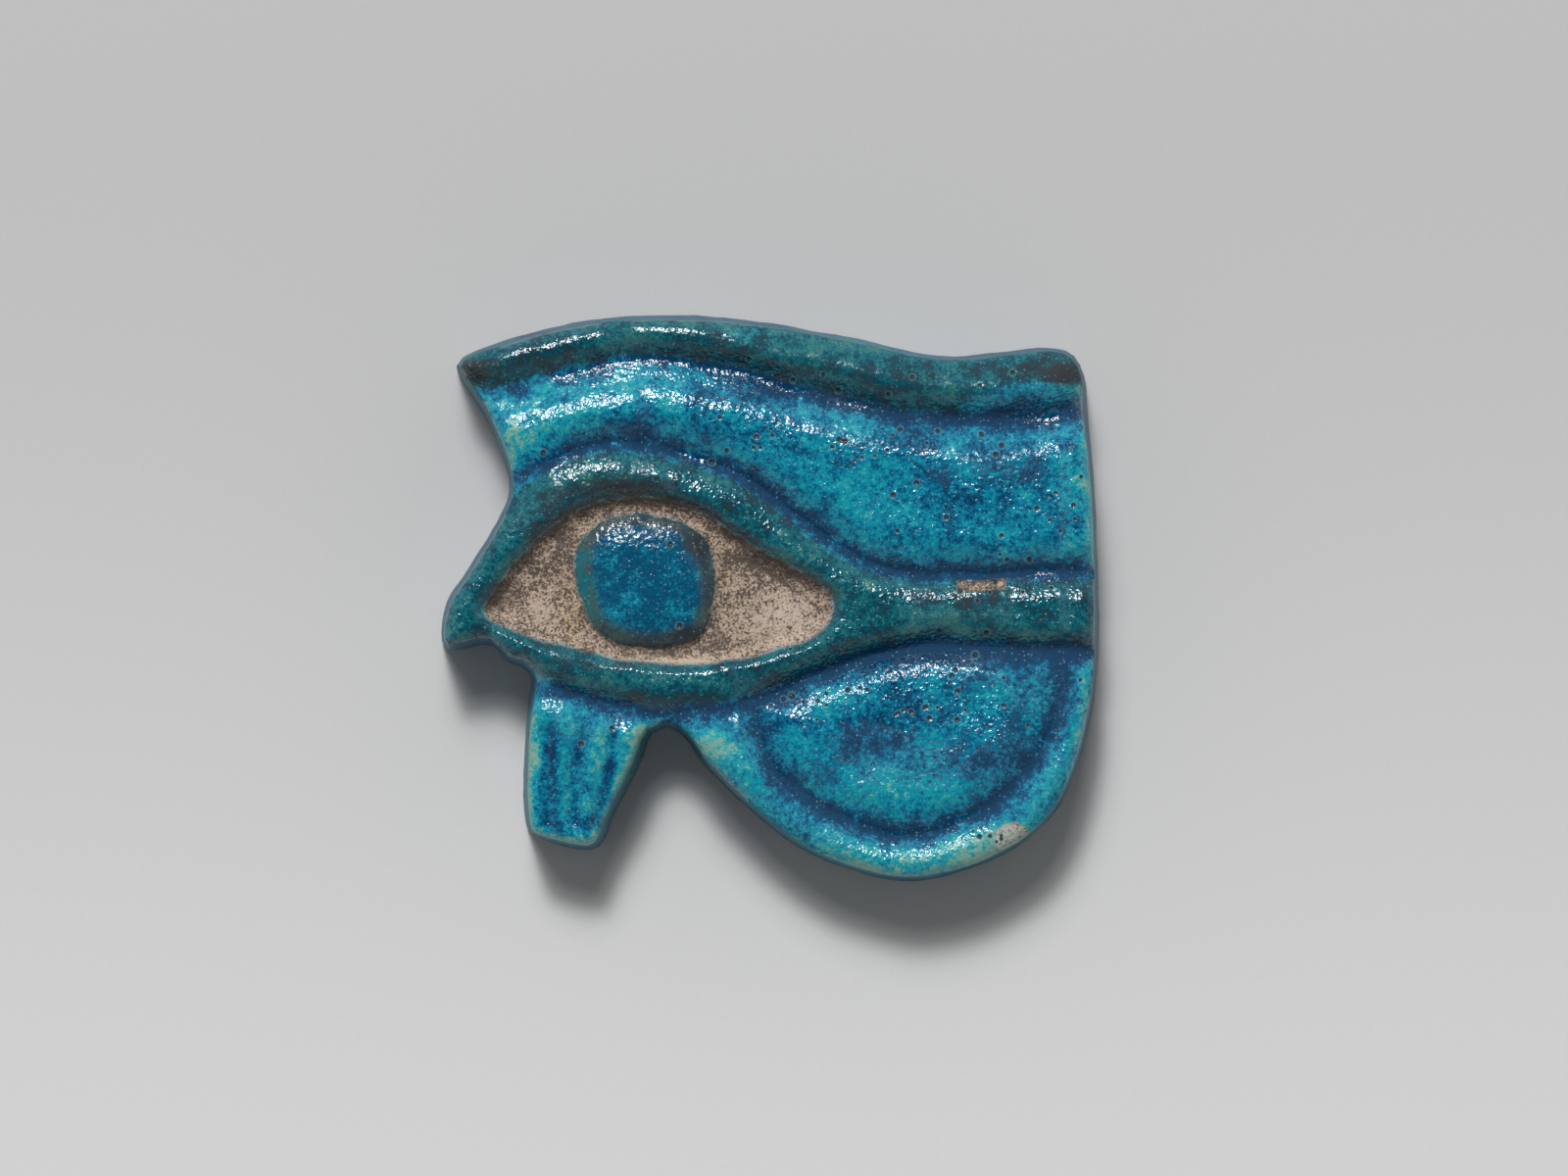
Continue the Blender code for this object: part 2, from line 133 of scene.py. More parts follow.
# The leaning upper edge of the tear, and then the soft patches of colour, gloss, staining and
# painted light and shade: the middle of each, its reach across and along, and its strength
TEAR_SHOULDER = (12, -13, 17, 11, 1)
BLUE_PATCHES = [
    (26, 15.7, 9, 5, 0.7), (41, 19.4, 6, 5, 0.5), (-20.2, 25.5, 7, 2, 0.5),
    (-3.8, 30.1, 12, 2, 0.3), (17, -20.5, 11, 5, 0.60), (35, -23.8, 6, 6, 0.5),
    (24, 24, 6, 2.5, 0.4), (24, -8.6, 22, 2.2, 0.8)]
GREEN_PATCHES = [
    (-36.6, 25.4, 9, 6, 0.6), (-6, -23.8, 5, 4, 0.55), (45.4, 7.5, 4, 3, 0.8),
    (-20.2, -22.3, 3, 6, 1), (32, -4.5, 14, 2.2, 0.7), (-21, 23, 7, 1.5, 0.5), (38, -37, 9, 3, 0.7),
    (36.4, -36.4, 3, 3, 0.5), (15, -39, 15, 3, 0.9), (-36.3, -25, 1.8, 11, 1),
    (-28.5, -27, 9, 11, 0.5), (-30.5, -26, 1.1, 9, 0.8), (-25.4, -26, 1, 9, 0.7),
    (12, 12, 8, 3, 0.5), (20, -29, 12, 2.5, 0.5), (46.5, -18, 1.8, 10, 0.5),
    (47.8, 18, 1.4, 9, 0.7), (-28.2, 2.5, 2.2, 6, 1), (-22, -2.5, 4, 3, 0.5),
    (10, 38, 12, 2.2, 0.9), (-28, 12, 3, 3, 0.3), (8, 8, 5, 3, 0.4), (-47, -4, 2.5, 2.5, 0.6),
    (0, 22, 7, 3, 0.3), (-14, -12.3, 11, 1.6, 0.8), (42.5, 31.6, 7, 0.9, 0.6)]
# Soot, with painted shade: the patches under the iris and over the eye paint the shade of those
# slopes
SOOT_AND_SHADE_PATCHES = [
    (-22, 16.5, 11, 2.3, 1), (-17.2, -6.6, 8, 2.2, 0.5), (-20.5, -10.2, 10, 1.3, 0.6),
    (-9.4, 1.5, 1.8, 7, 0.6), (-11, 8.2, 3, 3, 0.8), (-12, -5.4, 3, 1.8, 0.7),
    (-19.5, 11, 6, 1.3, 0.6), (-25.5, -3.2, 2, 2, 0.6), (4, 4.2, 7, 1.8, 0.45),
    (-45, 34.4, 4, 2.4, 0.8), (-36, 34.6, 9, 2.2, 0.55), (37, 34, 11, 2, 0.6),
    (22, 33.2, 6, 1.5, 0.4), (45, 33.6, 4, 3, 0.8), (9.8, 0.6, 2.4, 2.2, 0.7),
    (-12, 38, 8, 1.5, 0.35), (-33, 13.5, 4, 2.5, 0.45)]
BARE_PAINT_PATCHES = [
    (-3, 39.6, 6, 1.8, 0.4), (42, 31.2, 9, 1.4, 0.9), (38, 28.9, 11, 1.7, 1)]
# Pale body; the long patch along the lower lid is painted highlight on the eye's lit lower wall
CHALK_AND_HIGHLIGHT_PATCHES = [
    (2.4, -3.2, 5.5, 3.6, 0.9), (-34.5, -2.5, 5, 3, 0.4), (-14, -9.4, 20, 0.9, 0.8),
    (36.4, -36.4, 4, 4, 1)]
# Yellowish body; the long patch along the lower lid is painted highlight on the eye's lit lower
# wall
OCHRE_AND_HIGHLIGHT_PATCHES = [
    (-29.6, -3, 2.2, 5.5, 1), (-6.6, 4.6, 1.4, 4, 1), (-12, -9.3, 20, 0.8, 0.9)]
WORN_PATCHES = [
    (38, -36.5, 6, 3, 0.8), (31, -39.5, 3, 1, 0.9), (-31, -37, 6, 1.4, 0.9),
    (-36.6, -22, 1, 8, 0.7), (-19, -24, 1.4, 7, 0.8), (-46, 35.4, 2.5, 1.6, 0.8),
    (18, -40.4, 13, 2.4, 0.5), (-9, -22.5, 3, 2.5, 0.9), (-21, -22, 3, 5, 0.2),
    (-39, 21, 1, 3.5, 0.6), (5, -23, 3.5, 5, 0.5), (30, -2.6, 12, 1.2, 0.4)]
POOL_PATCHES = [
    (37, 28, 11, 1.2, 0.35), (-32.4, -24, 1.25, 6, 0.85), (22, 1.2, 4, 2.5, 0.6),
    (24, -8.4, 22, 1.5, 1), (15.5, -20.5, 9, 4.5, 0.10), (-3, -16.5, 3, 1.5, 0.5)]
DULL_PATCHES = [
    (-38.5, 31.6, 9, 2.2, 1.1), (3, 30.2, 7, 1.8, 0.8), (24, 26.2, 14, 2.6, 1),
    (32, 24, 11, 2, 0.9), (34, 19.3, 12, 2.4, 0.4), (-9, -20.5, 5, 3.5, 1), (-27.5, -18, 4.5, 3, 1),
    (34, -10.5, 9, 4, 0.4), (43, -12, 6, 5, 1), (14, 38, 12, 3, 0.95), (28, 35.2, 11, 3.2, 1.1),
    (40, 35.2, 8, 3, 0.9), (-21.5, 19.6, 4, 2.4, 0.42), (-21.5, 22, 4, 1.4, 0.6),
    (14.5, -21, 4, 2.5, 0.7), (-34.5, 17.6, 4, 2.6, 0.55), (-43, 36.8, 4, 2, 0.8),
    (-18.5, 10.6, 7, 2.2, 0.42), (5, 39.5, 12, 2, 0.9), (-22.5, 40.4, 2.5, 1.5, 0.9),
    (45, 34, 5, 3, 0.8), (27, -2, 7, 2, 0.6), (35, 1, 3, 3, 0.7), (23, 2.5, 3, 3, 0.8),
    (32, -0.5, 3.6, 1.8, 0.7), (39, -30, 7, 8, 0.9), (2, -34, 9, 6, 0.8), (-37, 14, 5, 4, 0.6),
    (20, -24, 12, 5, 0.5), (-28, -8.6, 8, 2, 0.5)]
SHINY_PATCHES = [
    (-14, 34, 15, 2.4, 1), (-10, 21, 3.5, 1.5, 1), (-28.8, 20.2, 3.5, 1.8, 0.8),
    (42, 2.6, 4, 0.9, 1.2), (12, -12.8, 9, 4, 1), (3.5, -8.6, 10, 2.6, 1.1), (30, 0.6, 10, 2, 0.5),
    (19, -37.5, 3, 1.5, 0.6), (29, -35.5, 3, 1.5, 0.8)]
SPARKLE_PATCHES = [
    (12.3, -14.1, 9, 3.8, 0.5), (26, -12.6, 8, 3, 0.8), (33, -16, 7, 4, 0.9),
    (15.6, 24.2, 8, 2.2, 0.8), (32, 21.5, 4, 2.2, 0.9), (40.2, 20.6, 4, 2.4, 1),
    (38, 18, 9, 5, 0.8), (-1.9, 14.6, 4, 3, 0.7), (4.3, -8, 9, 2, 0.5), (19.5, -37.5, 6, 2.5, 0.6),
    (43, 29, 6, 3, 0.4), (32, 0, 10, 2.4, 0.4), (37, 35, 9, 2.5, 0.3)]
# Brown staining of the white, and painted shade on its upper wall, below the iris and in the slot
DIRT_AND_SHADE_PATCHES = [
    (-4, 9, 5, 1.6, 0.8), (4.5, 3.2, 4.5, 1.3, 0.55), (-23, 14.3, 10, 1, 0.9),
    (-16.5, -8.4, 7, 0.9, 0.9), (-7.2, -5.6, 2.2, 2.5, 0.9), (-41, -0.5, 5, 2.2, 0.9),
    (-2.5, 3.6, 2.5, 3.5, 0.45), (-34, 6, 5, 3, 0.4), (-31, 10, 4, 1.4, 0.7), (0, 6, 6, 1.2, 0.5),
    (32, 2.7, 6, 0.9, 0.8)]

# The black along the upper lid, paint together with painted shade on the lid's lower slope, starts
# at this height and is full this much higher
LASH_LINE = 4
LASH_RISE = 6

# Gas pits in the glaze: the middle of each group, its reach and how many, and then how they
# scatter and vary
PIT_GROUPS = [
    (17.2, 23, 9, 3.5, 14), (46, 13, 3, 4, 8), (26, -15, 14, 7, 22), (11, -14, 8, 3, 12),
    (12, 34, 20, 3, 8), (35, -36, 4, 2, 7), (10, -40, 8, 1.5, 7), (33, 1, 8, 2, 6),
    (0, 24, 14, 4, 8), (30, 14, 14, 6, 10)]
LARGE_PITS = [(-33.9, 21.8), (39.2, 5.7), (-14.8, 8.0), (-13.4, -4.2), (-28.2, -22.0),
              (-23.6, -19.7)]
PIT_SEED = 11
PIT_SPREAD = 0.6
PIT_RADII = (0.7, 1.3)

# The mesh is cut finer round a pit, out to this many times its radius
FINER_ROUND_PITS = 1.9

# Corners of the solid are welded at this distance. Its triangles count as level from this much
# of an upright normal, and are cut even in this many rounds
WELD = 1e-6
LEVEL_NORMAL = 0.8
EVEN_ROUNDS = 5
SHARP_ANGLE = math.radians(50)


def number(name, description, default, **kind):
    return FloatProperty(name=name, description=description, default=default, **kind)


def length(name, description, default):
    return number(name, description, default, min=0, unit="LENGTH", precision=5)


def colour(name, description, default):
    return FloatVectorProperty(name=name, description=description, default=default, size=3,
                               min=0, max=1, subtype="COLOR")


class AmuletRelief(bpy.types.PropertyGroup):
    """Sizes of the carved face, the same as those of the solid."""

    width: length("Width", "From the inner corner of the eye to the tail's end", 0.050)
    face_height: length("Face height", "Height of the plain face over the back", solid_high.z)
    brow_edge_drop: length("Brow edge drop", "How far the rim drops along the brow", 0.0016)
    brow_edge_round: length("Brow edge round", "Width of the rim's round along the brow", 0.0029)
    side_edge_drop: length("Side edge drop", "How far the rim drops elsewhere", 0.0010)
    side_edge_round: length("Side edge round", "Width of the rim's round elsewhere", 0.0013)
    edge_change: length("Edge change", "Where one rim turns into the other", 0.0020)
    wall_draft: length("Wall draft", "How far the wall leans in", 0.00055)
    foot_height: length("Foot height", "Height of the small round at the foot", 0.0006)
    brow_groove_depth: length("Brow groove", "Depth of the groove below the brow", 0.00150)
    lid_groove_depth: length("Lid groove", "Depth of the groove over the upper lid", 0.00110)
    under_groove_depth: length("Under groove", "Depth of the groove under the eye", 0.00115)
    tear_groove_depth: length("Tear groove", "Depth of the groove round the tear", 0.00085)
    flute_depth: length("Flutes", "Depth of the drop's flutes", 0.00045)
    eye_depth: length("Eye", "Depth of the white behind the lids", 0.00150)
    iris_step: length("Iris step", "Height of the iris's edge", 0.00050)
    iris_dome: length("Iris dome", "Height of the iris over its edge", 0.00070)
    collar_rise: length("Collar", "Height of the collar under the iris", 0.00015)
    drop_fall: length("Drop's lean", "How far the drop leans back at its end", 0.00070)
    tear_hollow: length("Tear hollow", "Depth of the hollow in the tear", 0.00025)
    eye_hollow: length("Eye hollows", "Depth of the hollows beside the iris", 0.00030)
    pad_reach: length("Pad reach", "How far a groove's flank reaches over a pad", 0.0028)
    upper_field_reach: length("Field reach", "How far it reaches over the fields", 0.0026)
    band_reach: length("Band reach", "How far it reaches over a band", 0.0019)
    tear_pad_reach: length("Tear pad reach", "How far it reaches over the tear", 0.0020)
    tear_rim_reach: length("Tear rim reach", "How far it reaches over the tear's rim", 0.0016)
    flute_reach: length("Flute reach", "Half the width of a flute", 0.0014)
    brow_bed: length("Brow bed", "Radius of the brow groove's bed", 0.0009)
    groove_bed: length("Groove bed", "Radius of the other grooves' beds", 0.00045)
    flute_bed: length("Flute bed", "Radius of a flute's bed", 0.0003)
    lid_inner_slope: length("Lid slope", "Width of the slope inside the lids", 0.0009)
    eye_wall: length("Eye wall", "Width of the wall round the white", 0.0011)
    iris_wall: length("Iris wall", "Half the width of the iris's edge", 0.0003)
    iris_shoulder: length("Iris shoulder", "How far in the iris rises", 0.0029)
    collar_width: length("Collar width", "Width of the collar round the iris", 0.0013)


class AmuletWear(bpy.types.PropertyGroup):
    """Sizes of the hand-made unevenness, the pits and the bare places."""

    sway: length("Sway", "How far the carved lines wander sideways", 0.00022)
    sway_size: length("Sway size", "Length of one wander of a line", 0.0035)
    wobble: length("Wobble", "Height of the broad unevenness of the face", 0.00012)
    wobble_size: length("Wobble size", "Size of one broad swelling", 0.0045)
    peel: length("Peel", "Height of the glaze's fine waves", 0.000045)
    peel_size: length("Peel size", "Size of one fine wave", 0.0012)
    shoulder_depth: length("Shoulder", "How far the tear's upper edge leans back", 0.00032)
    shoulder_reach: length("Shoulder reach", "How far this reaches over the tear", 0.0044)
    body_grain: length("Body grain", "Height of the bare body's grains", 0.00004)
    body_grain_size: length("Body grain size", "Size of a grain of the bare body", 0.00045)
    rim_wobble: length("Rim wobble", "How far the rim and walls wander sideways", 0.00007)
    rim_wobble_size: length("Rim wobble size", "Length of one wander", 0.0022)
    fold_depth: length("Fold", "Depth of the soft fold below the brow", 0.00010)
    fold_reach: length("Fold reach", "Half the width of the fold", 0.0009)
    slot_depth: length("Slot", "Depth of the bare slot beside the tail", 0.00028)
    chip_depth: length("Chip", "Depth of the bare chip on the tear's rim", 0.00012)
    bare_wall: length("Bare wall", "Width of the wall round a bare place", 0.00014)
    crease_depth: length("Crease", "Depth of the crease in the eye's white", 0.00015)
    crease_reach: length("Crease reach", "Half the width of the crease", 0.00045)
    pit_depth: length("Pit depth", "Depth of a gas pit", 0.00013)
    pit_radius: length("Pit radius", "Radius of a small gas pit", 0.00019)
    large_pit_radius: length("Large pit radius", "Radius of a large gas pit", 0.00024)
    pit_margin: length("Pit margin", "Least distance from a gas pit to the rim", 0.0006)
    longest_edge: length("Longest edge", "Longest edge left in the level fields", 0.0011)
    face_cuts: IntProperty(name="Face cuts", description="Cuts of each edge of the solid",
                           default=3, min=1, max=4)
    pit_cuts: IntProperty(name="Pit cuts", description="Further cuts of the edges round a pit",
                          default=2, min=0, max=4)


class AmuletGlaze(bpy.types.PropertyGroup):
    """Colours of the glaze, the painted bands and the bare body."""

    rubbed: colour("Rubbed glaze", "The glaze worn nearly through", (0.210, 0.410, 0.345))
    green: colour("Green", "The glaze where it lies thin", (0.014, 0.370, 0.400))
    turquoise: colour("Turquoise", "The plain glaze", (0.007, 0.300, 0.410))
    blue: colour("Blue", "The glaze where it lies thicker", (0.003, 0.160, 0.295))
    cobalt: colour("Cobalt", "The glaze pooled in the grooves", (0.002, 0.062, 0.148))
    navy: colour("Navy", "The glaze where the pools are deepest", (0.001, 0.040, 0.105))
    paint_pale: colour("Pale paint", "The paint where it is rubbed", (0.045, 0.180, 0.165))
    paint: colour("Paint", "The painted brow, lids and tail", (0.005, 0.140, 0.182))
    paint_deep: colour("Deep paint", "The paint where it lies thick", (0.002, 0.054, 0.082))
    # Darkest paint, also used for painted shade over the eye, under the iris and in the pits
    soot_and_shade: colour("Soot", "The darkest paint", (0.028, 0.037, 0.044))
    crystal: colour("Crystals", "Pale quartz grains under the glaze", (0.220, 0.480, 0.520))
    ring: colour("Iris ring", "The thin grey glaze on the iris's edge", (0.062, 0.078, 0.084))
    olive: colour("Olive", "The olive glaze on the iris's left edge", (0.060, 0.115, 0.095))
    slate: colour("Slate", "The thin grey glaze on the walls", (0.023, 0.052, 0.084))
    iris: colour("Iris", "The middle of the iris", (0.002, 0.094, 0.188))
    body: colour("Bare body", "The unglazed body in the eye", (0.510, 0.388, 0.300))
    # Palest body, also used as painted highlight on the eye's lower wall
    chalk_and_highlight: colour("Chalk", "The palest bare body", (0.580, 0.480, 0.400))
    chip: colour("Chip", "The pale grey body on the chip", (0.440, 0.500, 0.460))
    # Yellowish body, also used as painted highlight on the eye's lower wall
    ochre_and_highlight: colour("Ochre", "The yellowish bare body", (0.600, 0.450, 0.280))
    # Brown of the body's staining, also used as painted shade on the white's upper wall and in its
    # crease
    dirt_and_shade: colour("Dirt", "The brown dirt in the body's hollows", (0.120, 0.088, 0.068))
    grain: colour("Dark grain", "The dark grains in the bare body", (0.090, 0.068, 0.053))


class AmuletStage(bpy.types.PropertyGroup):
    """The table, the lights and the camera."""

    # The two paper tones paint the fall of the main light across the table
    paper_far_shaded: colour("Far paper", "The table beyond the brow", (0.570, 0.570, 0.570))
    paper_near_lit: colour("Near paper", "The table on the near side", (0.755, 0.755, 0.755))
    key_power: number("Key light", "Power of the main light's middle", 15, min=0, unit="POWER")
    key_size: length("Key light size", "Width of the main light's bright middle", 0.32)
    soft_power: number("Soft light", "Power of the main light's border", 21, min=0,
                       unit="POWER")
    soft_size: length("Soft light size", "Width of the whole main light", 0.82)
    key_distance: length("Key light distance", "From the amulet to the main light", 2.0)
    key_height: number("Key light height", "Angle over the table", math.radians(52),
                       subtype="ANGLE")
    key_turn: number("Key light turn", "Angle from +Y towards -X", math.radians(11),
                     subtype="ANGLE")
    sky: number("Room light", "Strength of the light from the walls", 0.46, min=0)
    ceiling: number("Ceiling light", "Strength of the light from above", 0.045, min=0)


def smooth_path(points, step, closed=False):
    """Points about a step apart along a centripetal Catmull-Rom curve through the given ones."""
    points = np.array(points, float)
    if closed:
        run = [points[-1], *points, points[0], points[1]]
    else:
        run = [2 * points[0] - points[1], *points, 2 * points[-1] - points[-2]]
    found = []
    for before, start, end, after in zip(run, run[1:], run[2:], run[3:]):
        knots = np.cumsum([0.0] + [math.sqrt(np.linalg.norm(b - a))
                                   for a, b in ((before, start), (start, end), (end, after))])
        count = max(1, round(np.linalg.norm(end - start) / step))
        for i in range(count):
            at = knots[1] + (knots[2] - knots[1]) * i / count
            first = blend_between(before, start, knots[0], knots[1], at)
            middle = blend_between(start, end, knots[1], knots[2], at)
            last = blend_between(end, after, knots[2], knots[3], at)
            left = blend_between(first, middle, knots[0], knots[2], at)
            right = blend_between(middle, last, knots[1], knots[3], at)
            found.append(blend_between(left, right, knots[1], knots[2], at))
    if not closed:
        found.append(points[-1])
    return np.array(found)


def blend_between(low, high, low_at, high_at, at):
    return low + (high - low) * (at - low_at) / (high_at - low_at)


def nearest_on(points, path):
    """Each point's distance to a path, the side it lies on and its share of the way along."""
    lengths = np.linalg.norm(np.diff(path, axis=0), axis=1)
    reached = np.concatenate([[0.0], np.cumsum(lengths)]) / lengths.sum()
    nearest = np.full(len(points), np.inf)
    side = np.zeros(len(points))
    share = np.zeros(len(points))
    for start, end, begun, done in zip(path, path[1:], reached, reached[1:]):
        along = end - start
        offset = points - start
        part = np.clip(offset @ along / max(along @ along, 1e-18), 0, 1)
        away = np.hypot(offset[:, 0] - part * along[0], offset[:, 1] - part * along[1])
        across = (along[0] * offset[:, 1] - along[1] * offset[:, 0]) / np.linalg.norm(along)
        closer = away < nearest
        nearest[closer] = away[closer]
        side[closer] = (across / np.maximum(away, 1e-12))[closer]
        share[closer] = (begun + (done - begun) * part)[closer]
    return nearest, side, share


def depth_inside(points, loop):
    """Distance to a closed loop, positive inside it and negative outside."""
    x, y = points.T
    inside = np.zeros(len(points), bool)
    for (x0, y0), (x1, y1) in zip(loop, np.roll(loop, -1, 0)):
        if y0 != y1:
            crosses = (y0 > y) != (y1 > y)
            inside ^= crosses & (x < x0 + (y - y0) * (x1 - x0) / (y1 - y0))
    away = nearest_on(points, np.vstack([loop, loop[:1]]))[0]
    return away * np.where(inside, 1, -1)


def inset(loop, distance):
    """A clockwise closed loop moved inwards by a distance."""
    along = np.roll(loop, -1, 0) - np.roll(loop, 1, 0)
    along /= np.linalg.norm(along, axis=1)[:, None]
    inwards = np.stack([along[:, 1], -along[:, 0]], axis=1)
    return loop + inwards * distance


def ease(share):
    """A smooth step from 0 to 1."""
    share = np.clip(share, 0, 1)
    return share * share * (3 - 2 * share)


def rough(points, size, octaves, seed):
    """Fractal noise at each point, about -1 to 1, with swellings of this size."""
    shift = Vector((seed * 17.3, seed * 5.1, seed * 9.7))
    return np.array([noise.fractal(Vector(point) / size + shift, 1.0, 2.0, octaves)
                     for point in points])


def flat(points):
    """Points in the plane with a height of zero."""
    return np.column_stack([points, np.zeros(len(points))])


class Bed(NamedTuple):
    """Where points lie from a groove: the distance, the side and the share of the way along."""

    away: np.ndarray
    side: np.ndarray
    share: np.ndarray

    def fall(self, bed, depth, left, right, first=1.0, last=1.0):
        reach = right + (left - right) * (1 + self.side) / 2
        soft = np.sqrt(self.away ** 2 + bed ** 2) - bed
        flank = (1 - np.clip(soft / reach, 0, 1)) ** 2
        begun = first + (1 - first) * ease(self.share / FAINT_LENGTH)
        done = last + (1 - last) * ease((1 - self.share) / FAINT_LENGTH)
        return depth * flank * begun * done

    def signed(self):
        return self.away * self.side


def joined(falls):
    """Grooves that meet run into each other without adding up their depths."""
    return np.sum(np.array(falls) ** JOINING, axis=0) ** (1 / JOINING)


class Drawing:
    """The amulet's drawing laid over some points of the face, in metres."""

    OUTLINE_STEP = 1.5
    STEP = 0.9

    def __init__(self, sizes):
        self.sizes = sizes
        self.unit = sizes.width / 100
        outline = smooth_path(OUTLINE, self.OUTLINE_STEP, True)
        self.middle = (outline.min(0) + outline.max(0)) / 2
        self.outline = self.placed(outline)
        self.rim = inset(self.outline, sizes.wall_draft)

    def placed(self, points):
        return (np.array(points) - self.middle) * self.unit

    def path(self, points, closed=False):
        return self.placed(smooth_path(points, self.STEP, closed))

    def lay_over(self, points, wear):
        """Measures every point against every curve once, with the hand's sway in the lines."""
        self.to_rim = depth_inside(points, self.rim)
        inner = ease(self.to_rim / (2 * MM))
        sway = [wear.sway * inner * rough(flat(points), wear.sway_size, 2, seed)
                for seed in (8, 9)]
        points = points + np.stack(sway, axis=1)
        self.points = points
        self.eye = depth_inside(points, self.path(EYE, True))
        self.iris = depth_inside(points, self.path(IRIS, True))
        self.slot = depth_inside(points, self.placed(SLOT))
        self.chip = depth_inside(points, self.path(CHIP, True))
        self.brow, self.lid, self.under, self.tear, self.fold, self.crease, self.upper_lid = (
            Bed(*nearest_on(points, self.path(path)))
            for path in (BROW_GROOVE, LID_GROOVE, UNDER_GROOVE, TEAR_GROOVE, PAD_FOLD,
                         EYE_CREASE, UPPER_LID))
        self.flutes = [Bed(*nearest_on(points, self.path(flute))) for flute in FLUTES]

    def patch(self, x, y, across, along, strength):
        away = (self.points - self.placed([(x, y)])[0]) / (np.array([across, along]) * self.unit)
        return strength * np.exp(-(away ** 2).sum(1))

    def patches(self, listed):
        return np.clip(sum(self.patch(*spot) for spot in listed), 0, 1)

    def height(self):
        """The carved face's height over the back, as the solid has it."""
        s = self.sizes
        fall = joined([
            self.brow.fall(s.brow_bed, s.brow_groove_depth, s.band_reach, s.pad_reach, BROW_START),
            self.lid.fall(s.groove_bed, s.lid_groove_depth, s.upper_field_reach, s.band_reach,
                          FAINT_START),
            self.under.fall(s.groove_bed, s.under_groove_depth, s.band_reach, s.tear_pad_reach)
            * (1 - self.patch(*FAINT_SPOT)),
            self.tear.fall(s.groove_bed, s.tear_groove_depth, s.upper_field_reach,
                           s.tear_rim_reach, last=FAINT_END)])
        fall += joined([flute.fall(s.flute_bed, s.flute_depth, s.flute_reach, s.flute_reach,
                                   FAINT_START)
                        for flute in self.flutes])
        fall += self.drop_fall()
        fall += self.eye_fall()
        fall += sum(self.patch(*spot, getattr(s, depth)) for *spot, depth in HOLLOWS)
        return s.face_height - fall - self.edge_fall()

    def edge_fall(self):
        """The quarter round along the rim, wider above the brow's groove."""
        s = self.sizes
        brow = ease(0.5 + self.brow.signed() / s.edge_change)
        drop = s.side_edge_drop + (s.brow_edge_drop - s.side_edge_drop) * brow
        reach = s.side_edge_round + (s.brow_edge_round - s.side_edge_round) * brow
        away = np.clip(np.abs(self.to_rim) / reach, 0, 1)
        return drop * (1 - np.sqrt(1 - (1 - away) ** 2))

    def eye_fall(self):
        """The white of the eye, sunk behind the lids, with the domed iris on its collar."""
        s = self.sizes
        fall = s.eye_depth * ease((self.eye + s.lid_inner_slope) / (s.lid_inner_slope + s.eye_wall))
        rise = s.collar_rise * ease((self.iris + s.collar_width) / s.collar_width)
        rise += s.iris_step * ease((self.iris + s.iris_wall) / (2 * s.iris_wall))
        shoulder = np.clip(self.iris / s.iris_shoulder, 0, 1)
        rise += s.iris_dome * (1 - (1 - shoulder) ** 2)
        return fall - rise

    def drop_fall(self):
        """The drop leans back a little towards its end."""
        top, end = self.placed([(0, DROP_TOP), (0, DROP_END)])[:, 1]
        right = self.placed([(DROP_RIGHT, DROP_TOP)])[0, 0]
        on_drop = ease((right - self.points[:, 0]) / (DROP_JOINT * self.unit))
        along = np.clip((self.points[:, 1] - top) / (end - top), 0, 1)
        return self.sizes.drop_fall * along * on_drop

    def wear_fall(self, wear):
        """What the hand, the kiln and time added: swellings, waves, grains, slot, chip, folds."""
        flat_points = flat(self.points)
        glazed = 1 - self.bare_share()
        fall = -wear.wobble * rough(flat_points, wear.wobble_size, 2, 1)
        fall -= wear.peel * rough(flat_points, wear.peel_size, 3, 2) * glazed
        fall -= wear.body_grain * rough(flat_points, wear.body_grain_size, 3, 3) * (1 - glazed)
        s = self.sizes
        shoulder = self.under.fall(s.groove_bed, wear.shoulder_depth, s.band_reach,
                                   wear.shoulder_reach)
        fall += shoulder * self.patch(*TEAR_SHOULDER)
        fall += self.fold.fall(s.flute_bed, wear.fold_depth, wear.fold_reach, wear.fold_reach,
                               0, 0)
        crease = self.crease.fall(s.flute_bed, wear.crease_depth, wear.crease_reach,
                                  wear.crease_reach, 0, 0)
        fall += crease * ease(self.eye / wear.bare_wall)
        fall += wear.slot_depth * ease(self.slot / wear.bare_wall)
        fall += wear.chip_depth * ease(self.chip / wear.bare_wall)
        return fall

    def bare_share(self):
        """1 where the body is bare: the eye's white without the iris, the slot and the chip."""
        white = ease(0.5 + self.eye / (0.3 * MM)) * ease(0.5 - self.iris / (0.3 * MM))
        return np.maximum(white, ease(0.5 + np.maximum(self.slot, self.chip) / (0.2 * MM)))


def pit_places(drawing, wear):
    """Every gas pit's place and radius."""
    chance = random.Random(PIT_SEED)
    pits = [(*place, wear.large_pit_radius) for place in drawing.placed(LARGE_PITS)]
    for x, y, across, along, count in PIT_GROUPS:
        for _ in range(count):
            place = [at + chance.gauss(0, PIT_SPREAD) * reach
                     for at, reach in ((x, across), (y, along))]
            pits.append((*drawing.placed([place])[0], wear.pit_radius * chance.uniform(*PIT_RADII)))
    pits = np.array(pits)
    return pits[depth_inside(pits[:, :2], drawing.rim) > wear.pit_margin]


def pit_distance(points, pits):
    """Each point's distance to the nearest pit, as a share of that pit's radius."""
    nearest = np.full(len(points), np.inf)
    for x, y, radius in pits:
        away = np.hypot(points[:, 0] - x, points[:, 1] - y) / radius
        nearest = np.minimum(nearest, away)
    return nearest


